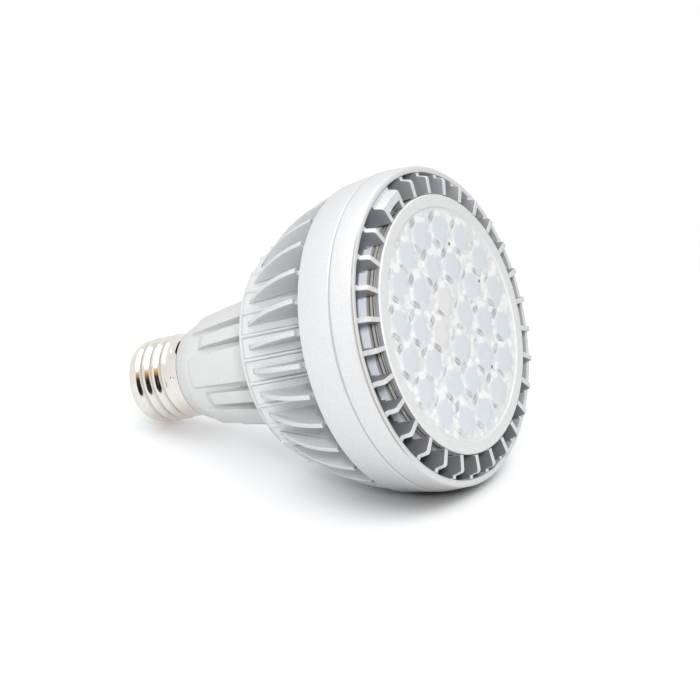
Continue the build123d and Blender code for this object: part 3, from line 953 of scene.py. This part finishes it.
    def contact(self, material: Material) -> None:
        """Make the contact, a dished button with a domed spot of solder.

        Args:
            material: Its nickel.
        """
        wide, high, seat = reach("centre_contact"), top("centre_contact"), bottom("base_insulator")
        brim = [(wide - self.contact_round, 0.5 * seat), (wide, 0.8 * seat), (wide, seat)]
        stem = [(self.contact_stem, seat), (self.contact_stem, high), (0.0, high)]
        shaper = Shaper().turn([*self.contact_dish, *brim, *stem], self.contact_steps, closed=False)
        shaper.piece("centre_contact_button", material, "nickel_plate", "centre_contact")

    def build(self, nickel: Material, black: Material) -> None:
        """Make the three pieces.

        Args:
            nickel: Finish of the shell and the contact.
            black: Finish of the insulator.
        """
        self.shell(nickel)
        self.insulator(black)
        self.contact(nickel)


@dataclass
class Casting:
    """The painted castings: neck, heat sink and trim ring."""

    edge: float = 0.18 * MM
    facet_angle: float = 20.0
    ring_edge: float = 0.3 * MM
    ring_steps: int = 240
    ring_bore: float = 45.2 * MM
    ring_rear: float = 46.1 * MM
    ring_lip_inset: float = 0.3 * MM
    ring_lip_chamfer: float = 0.7 * MM
    groove_from_front: float = 7.8 * MM
    groove_width: float = 0.45 * MM
    groove_depth: float = 0.4 * MM
    groove_step: float = 0.02 * MM
    filled_slot_turn: float = 210.0
    filled_slot_half: float = 9.0
    filled_slot_start: float = 37.0 * MM

    def ring(self, material: Material) -> None:
        """Make the trim ring with its groove.

        Args:
            material: Its paint.
        """
        low, high, wide = bottom("trim_ring"), top("trim_ring"), reach("trim_ring")
        groove = high - self.groove_from_front
        lip = wide - self.ring_lip_inset
        profile = [
            (self.ring_bore, low),
            (self.ring_rear, low),
            (wide - self.groove_step, groove - self.groove_width),
            (wide - self.groove_depth, groove),
            (wide, groove + self.groove_width),
            (lip, high - self.ring_lip_chamfer),
            (lip - self.ring_lip_chamfer, high),
            (self.ring_bore, high),
        ]
        shaper = Shaper().turn(profile, self.ring_steps)
        shaper.soften(self.ring_edge, segments=3, sharper_than=15.0)
        shaper.piece("trim_ring_band", material, "silver_paint", "trim_ring")

    def in_filled_slot(self, place: Vector) -> bool:
        """Tell whether a place lies by the filled slot, whose short edges stay sharp."""
        aside = (math.degrees(math.atan2(place.y, place.x)) - self.filled_slot_turn + 180) % 360 - 180
        return abs(aside) < self.filled_slot_half and math.hypot(place.x, place.y) > self.filled_slot_start

    def softened(self, node: str, material: Material, slot: str) -> None:
        """Copy a CAD node with its sharp edges rounded.

        Args:
            node: The node.
            material: Its paint.
            slot: The record's slot.
        """
        shaper = Shaper(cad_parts[node].data).flatten()
        shaper.soften(self.edge, spare=self.in_filled_slot)
        shaper.piece(f"{node}_cast", material, slot, node, self.facet_angle)

    def build(self, paint: Material, neck_paint: Material) -> None:
        """Make the three castings.

        Args:
            paint: Paint of the heat sink and the ring.
            neck_paint: Paint of the neck.
        """
        self.ring(paint)
        self.softened("heat_sink", paint, "silver_paint")
        self.softened("neck_housing", neck_paint, "neck_paint")


@dataclass
class LensPlate:
    """The clear lens plate and the dark gasket under it."""

    facet_angle: float = 15.0

    def build(self, clear: Material, gasket: Material) -> None:
        """Make the plate and dress the gasket.

        Args:
            clear: Finish of the plate.
            gasket: Finish of the gasket.
        """
        shaper = Shaper(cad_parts["lens_plate"].data)
        shaper.piece("lens_plate_clear", clear, "clear_lens", "lens_plate", self.facet_angle)
        dress("lens_gasket", gasket)


@dataclass
class CrossScrews:
    """Pan-head screws with cross recesses, made from the solids' plain heads.

    Fields are the node, the end that its heads are on, 1 for the upper and -1 for the lower, a head's
    rounding, its facets and the angle in degrees past which an edge gets it, the length and half the width of
    a cross's arm, the cross's depth, the share of its mouth that its floor keeps, and how near to the end the
    flat of a head lies.
    """

    node: str
    side: int
    pan_round: float = 0.9 * MM
    pan_segments: int = 5
    pan_sharp: float = 60.0
    arm: float = 1.3 * MM
    arm_half: float = 0.32 * MM
    depth: float = 1.0 * MM
    taper: float = 0.55
    near: float = 0.01 * MM

    def outline(self, middle: Vector) -> list[Vector]:
        """Corners of one cross, in the plane of its head.

        Args:
            middle: Middle of the head.

        Returns:
            The twelve corners in order.
        """
        corners = [(self.arm, -self.arm_half), (self.arm, self.arm_half), (self.arm_half, self.arm_half)]
        turns = [Matrix.Rotation(quarter * FULL_TURN / 4, 3, AXIS) for quarter in range(4)]
        return [middle + turn @ Vector((along, across, 0.0)) for turn in turns for along, across in corners]

    def recess(self, bm: bmesh.types.BMesh, head: bmesh.types.BMFace) -> None:
        """Sink a cross into the flat of a head.

        Args:
            bm: The screws.
            head: The flat of one head.
        """
        rim = head.edges[:]
        middle = head.calc_center_median()
        sunk = AXIS * (-self.side * self.depth)
        mouth = [bm.verts.new(corner) for corner in self.outline(middle)]
        floor = [bm.verts.new(middle + (vertex.co - middle) * self.taper + sunk) for vertex in mouth]
        bmesh.ops.delete(bm, geom=[head], context="FACES_ONLY")
        loop = list(zip(mouth, mouth[1:] + mouth[:1]))
        edges = [bm.edges.new(pair) for pair in loop]
        bmesh.ops.triangle_fill(bm, use_beauty=True, use_dissolve=False, edges=rim + edges)
        for (first, second), (third, fourth) in zip(loop, zip(floor, floor[1:] + floor[:1])):
            bm.faces.new((first, second, fourth, third))
        bm.faces.new(floor)

    def build(self, material: Material) -> None:
        """Make the screws of the node.

        Args:
            material: Plated steel.
        """
        end = top(self.node) if self.side > 0 else bottom(self.node)
        shaper = Shaper(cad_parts[self.node].data).flatten()
        shaper.soften(
            self.pan_round, self.pan_segments, self.pan_sharp,
            spare=lambda place: abs(place.z - end) > self.near,
        )
        bm = shaper.bm
        bm.normal_update()
        heads = [
            face for face in bm.faces
            if face.normal.z * self.side > 0.99 and abs(face.calc_center_median().z - end) < self.near
        ]
        for head in heads:
            self.recess(bm, head)
        bmesh.ops.recalc_face_normals(bm, faces=bm.faces[:])
        shaper.piece(f"{self.node}_cross", material, "steel_screw", self.node)


@dataclass
class Inside:
    """The light engine and the driver, which stay as the solids are, apart from the screws' heads.

    Fields are each finish with the nodes that it dresses, and the finish of the screws.
    """

    finishes: tuple[tuple[Moulded, str], ...] = (
        (Moulded("board_white", (0.90, 0.90, 0.89), (0.86, 0.86, 0.85), 0.45), "led_board"),
        (Moulded("led_body", (0.93, 0.92, 0.88), (0.88, 0.87, 0.83), 0.35), "led_packages"),
        (Moulded("phosphor", (0.93, 0.85, 0.55), (0.90, 0.80, 0.48), 0.4), "led_phosphors"),
        (Moulded("thermal_pad", (0.55, 0.57, 0.60), (0.48, 0.50, 0.53), 0.7), "thermal_pad"),
        (Moulded("driver_green", (0.10, 0.34, 0.18), (0.07, 0.28, 0.14), 0.4), "driver_board"),
        (Moulded("capacitor_sleeve", (0.08, 0.10, 0.14), (0.05, 0.07, 0.10), 0.3), "bulk_capacitor"),
        (Moulded("ferrite", (0.16, 0.16, 0.17), (0.11, 0.11, 0.12), 0.6), "transformer_core"),
        (Moulded("winding_tape", (0.86, 0.70, 0.24), (0.80, 0.63, 0.18), 0.4), "transformer_winding"),
        (Moulded("black_epoxy", (0.06,) * 3, (0.04,) * 3, 0.5), "filter_choke bridge_rectifier"),
        (Moulded("film_epoxy", (0.62, 0.24, 0.12), (0.55, 0.20, 0.09), 0.35), "film_capacitor"),
        (Moulded("wire_white", (0.86, 0.86, 0.84), (0.80, 0.80, 0.78), 0.5), "neutral_wire"),
        (Moulded("wire_black", (0.05,) * 3, (0.03,) * 3, 0.5), "live_wire led_wire_negative"),
        (Moulded("wire_red", (0.62, 0.06, 0.05), (0.55, 0.05, 0.04), 0.5), "led_wire_positive"),
    )
    zinc: Moulded = Moulded("zinc_steel", (0.66, 0.66, 0.64), (0.58, 0.58, 0.56), 0.35, metallic=1.0)

    def build(self) -> None:
        """Dress every inner node and make the screws."""
        for finish, nodes in self.finishes:
            material = finish.material()
            for node in nodes.split():
                dress(node, material)
        zinc = self.zinc.material()
        CrossScrews("flange_screws", -1).build(zinc)
        CrossScrews("board_screws", 1).build(zinc)


@dataclass(frozen=True)
class SoftLamp:
    """Square soft lamp.

    Fields are its name, its place along the camera's right, away from the camera and up, its width, its power
    in watts, and whether gloss shows it.
    """

    name: str
    place: Place
    size: float
    power: float
    mirrored: bool = True


@dataclass
class Studio:
    """White floor that the lamp lies on, soft lamps, white surroundings and the camera.

    Fields are, in order: how the lamp lies, the camera, the strength of the surroundings, the floor with the
    shadow on it, the card that the nickel mirrors, and the soft lamps with the share of the height at which
    they aim.
    """

    lie_turn: float = 12.0
    base_touch: float = 2.5 * MM
    ring_touch: float = 6.5 * MM
    camera_place: Place = (0.0208, -0.7451, 0.5699)
    camera_right: Place = (0.1755, 0.5450, 0.8198)
    camera_back: Place = (0.0213, -0.8344, 0.5502)
    lens: float = 155.0
    sensor: float = 36.0
    surround: float = 0.46
    floor_radius: float = 0.45
    floor_sides: int = 64
    floor_drop: float = 0.5 * MM
    floor_fade: Point = (0.12, 0.30)
    floor_grain: float = 2.0 * MM
    floor_tones: tuple[Colour, Colour] = ((0.215, 0.215, 0.215), (0.225, 0.225, 0.225))
    floor_light: Colour = (0.97, 0.99, 1.0)
    floor_glow: float = 0.80
    open_side: Place = (0.18, 0.38, 0.9)
    contact_reach: float = 0.05
    contact_limits: Point = (0.05, 0.72)
    ring_shadow: Colour = (0.0, 0.0, 0.0)
    ring_shadow_limits: Point = (0.014, 0.060)
    far_shadow: Colour = (0.66, 0.685, 0.71)
    base_shadow: Colour = (0.47, 0.455, 0.43)
    base_shadow_limits: Point = (0.004, 0.034)
    card_place: Place = (-0.12, -0.50, 0.0)
    card_corners: tuple[Point, ...] = ((-0.19, -0.30), (0.19, -0.30), (0.19, 0.72), (-0.19, 0.72))
    card_tone: Colour = (0.02, 0.018, 0.016)
    card_dark: Colour = (0.01, 0.008, 0.006)
    card_warm: Colour = (0.80, 0.40, 0.12)
    card_warm_limits: Point = (0.30, 0.52)
    card_white: Colour = (1.0, 0.97, 0.92)
    card_white_limits: Point = (0.50, 0.72)
    lamps: tuple[SoftLamp, ...] = (
        SoftLamp("key", (-0.1, -0.05, 0.80), 0.9, 4.3),
        SoftLamp("fill", (-0.7, -0.45, 0.15), 0.6, 1.5, mirrored=False),
        SoftLamp("front", (0.05, -0.80, 0.50), 0.2, 6.4, mirrored=False),
    )
    aim: float = 0.62

    def outward(self) -> Vector:
        """Direction from the lamp's axis to the floor, square to the axis."""
        turn = math.radians(self.lie_turn)
        return Vector((math.cos(turn), math.sin(turn), 0.0))

    def touches(self) -> tuple[Vector, Vector]:
        """Where the base and the ring touch the floor."""
        base = self.outward() * reach("screw_shell") + AXIS * (bottom("screw_shell") + self.base_touch)
        ring = self.outward() * reach("trim_ring") + AXIS * (top("trim_ring") - self.ring_touch)
        return base, ring

    def down(self) -> Vector:
        """Direction in which the lying lamp is heavy: square to the line from the base to the ring."""
        base, ring = self.touches()
        along = (ring - base).normalized()
        return (self.outward() - along * self.outward().dot(along)).normalized()

    def basis(self) -> Matrix:
        """Turn whose Z is up from the floor and whose X is the camera's right."""
        up = -self.down()
        side = Vector(self.camera_right)
        side = (side - up * side.dot(up)).normalized()
        return Matrix((side, up.cross(side), up)).transposed()

    def middle(self) -> Vector:
        """Middle of the lamp, at which the soft lamps aim."""
        return AXIS * (top("lens_plate") * self.aim)

    def camera(self) -> None:
        """Set the camera where the photograph was taken."""
        right = Vector(self.camera_right).normalized()
        back = Vector(self.camera_back).normalized()
        up = back.cross(right).normalized()
        right = up.cross(back)
        data = bpy.data.cameras.new("camera")
        data.lens = self.lens
        data.sensor_width = self.sensor
        obj = add("camera", data)
        turn = Matrix((right, up, back)).transposed().to_4x4()
        obj.matrix_world = Matrix.Translation(Vector(self.camera_place)) @ turn
        bpy.context.scene.camera = obj

    def floor_white(self, base: Vector, ring: Vector) -> Material:
        """Build the floor's material: white, one-sided, fading out, and darker where it sees less of the sky.

        Args:
            base: Where the base touches.
            ring: Where the ring touches.

        Returns:
            The material.
        """
        bench = Bench("floor_white")
        toward = self.basis() @ Vector(self.open_side).normalized()
        facing = bench.node(Kind.JOIN, None, dict(zip("XYZ", toward)))
        sight = {"Distance": self.contact_reach, "Normal": facing}
        sky = bench.node(Kind.OCCLUSION, {"samples": 16}, sight, output="AO")
        from_ring = bench.ramp(bench.away(ring), *self.ring_shadow_limits)
        shadow = bench.blend(from_ring, self.ring_shadow, self.far_shadow)
        from_base = bench.ramp(bench.away(base), *self.base_shadow_limits)
        shadow = bench.blend(from_base, self.base_shadow, shadow)
        bench.shade(
            Base_Color=bench.blend(bench.noise(self.floor_grain), *self.floor_tones),
            Roughness=0.9,
            Specular_IOR_Level=0.0,
            Emission_Color=bench.blend(bench.ramp(sky, *self.contact_limits), shadow, self.floor_light),
            Emission_Strength=self.floor_glow,
        )
        fade = bench.ramp(bench.away((base + ring) / 2), *self.floor_fade)
        clear = bench.maths("MAXIMUM", fade, bench.node(Kind.GEOMETRY, output="Backfacing"))
        white = Value(bench, bench.shader.outputs[0])
        mixed = bench.node(Kind.MIX_SHADER, None, {0: clear, 1: white, 2: bench.node(Kind.SEE_THROUGH)})
        bench.link(bench.output.inputs["Surface"], mixed)
        return bench.owner

    def floor(self) -> None:
        """Make the round floor under the lying lamp."""
        base, ring = self.touches()
        drop = self.floor_drop * self.basis().col[2]
        shaper = Shaper()
        bmesh.ops.create_circle(
            shaper.bm, cap_ends=True, segments=self.floor_sides, radius=self.floor_radius
        )
        bmesh.ops.rotate(shaper.bm, verts=shaper.bm.verts[:], cent=CENTRE, matrix=self.basis())
        bmesh.ops.translate(shaper.bm, verts=shaper.bm.verts[:], vec=(base + ring) / 2 - drop)
        shaper.thing("floor", self.floor_white(base, ring))

    def world(self) -> None:
        """Surround the lamp with white, seen at full strength by the camera, in gloss and through glass."""
        bench = Bench("surroundings", world=True)
        bpy.context.scene.world = bench.owner
        rays = ("Is Camera Ray", "Is Glossy Ray", "Is Transmission Ray")
        seen = bench.extreme("MAXIMUM", [bench.node(Kind.LIGHT_PATH, output=ray) for ray in rays])
        level = bench.node(Kind.RANGE, None, {"Value": seen, "To Min": self.surround, "To Max": 1.0})
        bench.shade(Color=(1.0, 1.0, 1.0), Strength=level)

    def lamp(self, soft: SoftLamp) -> None:
        """Hang one soft lamp, aimed at the middle of the object.

        Args:
            soft: The lamp.
        """
        data = bpy.data.lights.new(soft.name, "AREA")
        data.size = soft.size
        data.energy = soft.power
        obj = add(soft.name, data)
        offset = self.basis() @ Vector(soft.place)
        turn = offset.to_track_quat("Z", "Y").to_matrix().to_4x4()
        obj.matrix_world = Matrix.Translation(self.middle() + offset) @ turn
        obj.visible_glossy = soft.mirrored

    def card(self) -> None:
        """Stand a dark card beside the base, out of the picture, for the nickel to mirror: it glows warm and
        then white toward its top though it is no lamp, and only gloss sees it, as a painted reflection.
        """
        up = -self.down()
        basis = self.basis()
        foot = self.middle() + basis @ Vector(self.card_place)
        shaper = Shaper()
        corners = [foot + basis @ Vector((across, 0.0, rise)) for across, rise in self.card_corners]
        shaper.bm.faces.new([shaper.bm.verts.new(corner) for corner in corners])
        bench = Bench("card_dark")
        height = bench.toward(up) - foot.dot(up)
        # Painted reflections: the card's glow is dark at its foot, then warm, then white.
        glow = bench.blend(bench.ramp(height, *self.card_warm_limits), self.card_dark, self.card_warm)
        glow = bench.blend(bench.ramp(height, *self.card_white_limits), glow, self.card_white)
        bench.shade(
            Base_Color=self.card_tone,
            Roughness=0.9,
            Specular_IOR_Level=0.0,
            Emission_Color=glow,
            Emission_Strength=1.0,
        )
        obj = shaper.thing("dark_card", bench.owner)
        obj.visible_camera = False
        obj.visible_diffuse = False
        obj.visible_shadow = False

    def build(self) -> None:
        """Set up the whole studio."""
        self.camera()
        self.floor()
        self.world()
        for soft in self.lamps:
            self.lamp(soft)
        self.card()
        bpy.context.scene.view_settings.view_transform = "Standard"


def main() -> None:
    """Build the studio and dress the lamp, from the base to the lens plate."""
    logging.basicConfig(level=logging.INFO, format="%(message)s")
    front = top("trim_ring")
    # Painted shade on the blades' sides in the slots, and painted light on the core's wall.
    slots = SlotShadeAndLight(
        bottom=bottom("trim_ring"),
        radius=45.0 * MM,
        side=(0.34, 0.355, 0.375),
        darker_side_shade=(0.215, 0.22, 0.235),
        wall=(0.83, 0.88, 0.945),
        wall_radii=(36.9 * MM, 37.6 * MM),
        wall_bottom=front - 5.1 * MM,
    )
    # Painted shade in the ring's groove and along its lip.
    ring_shade = RingShade(
        groove_shade=front - Casting.groove_from_front,
        groove_shade_radius=45.4 * MM,
        lip_radius=46.85 * MM,
        lip_above=front - 0.85 * MM,
    )
    paint = SilverPaint(
        "silver_paint", pale=(0.67, 0.677, 0.685), dark=(0.60, 0.607, 0.615), metallic=0.35, roughness=0.42,
        slot=slots, ring_shade=ring_shade,
    ).material()
    # The neck's spigot inside the joint is painted near-black as shade in the gap.
    neck_paint = SilverPaint(
        "neck_paint", pale=(0.62, 0.625, 0.625), dark=(0.57, 0.575, 0.575), metallic=0.25, roughness=0.40,
        grain_depth=0.015 * MM, gap_shade_below=top("screw_shell") + 0.3 * MM,
    ).material()
    nickel = NickelPlate(
        "nickel_plate", colour=(0.80, 0.775, 0.73), tarnish=(0.52, 0.47, 0.39), roughness=0.11,
        root=12.1 * MM, crest=12.55 * MM,
    ).material()
    black = Moulded("black_insulator", (0.035, 0.035, 0.04), (0.02, 0.02, 0.022), 0.2).material()
    rubber = RibbedRubber("gasket_rubber", (0.14, 0.125, 0.11), (0.08, 0.07, 0.06), 0.5).material()
    Studio().build()
    ScrewBase().build(nickel, black)
    Casting().build(paint, neck_paint)
    LensPlate().build(LensPlastic("lens_clear").material(), rubber)
    Inside().build()


if __name__ == "__main__":
    main()
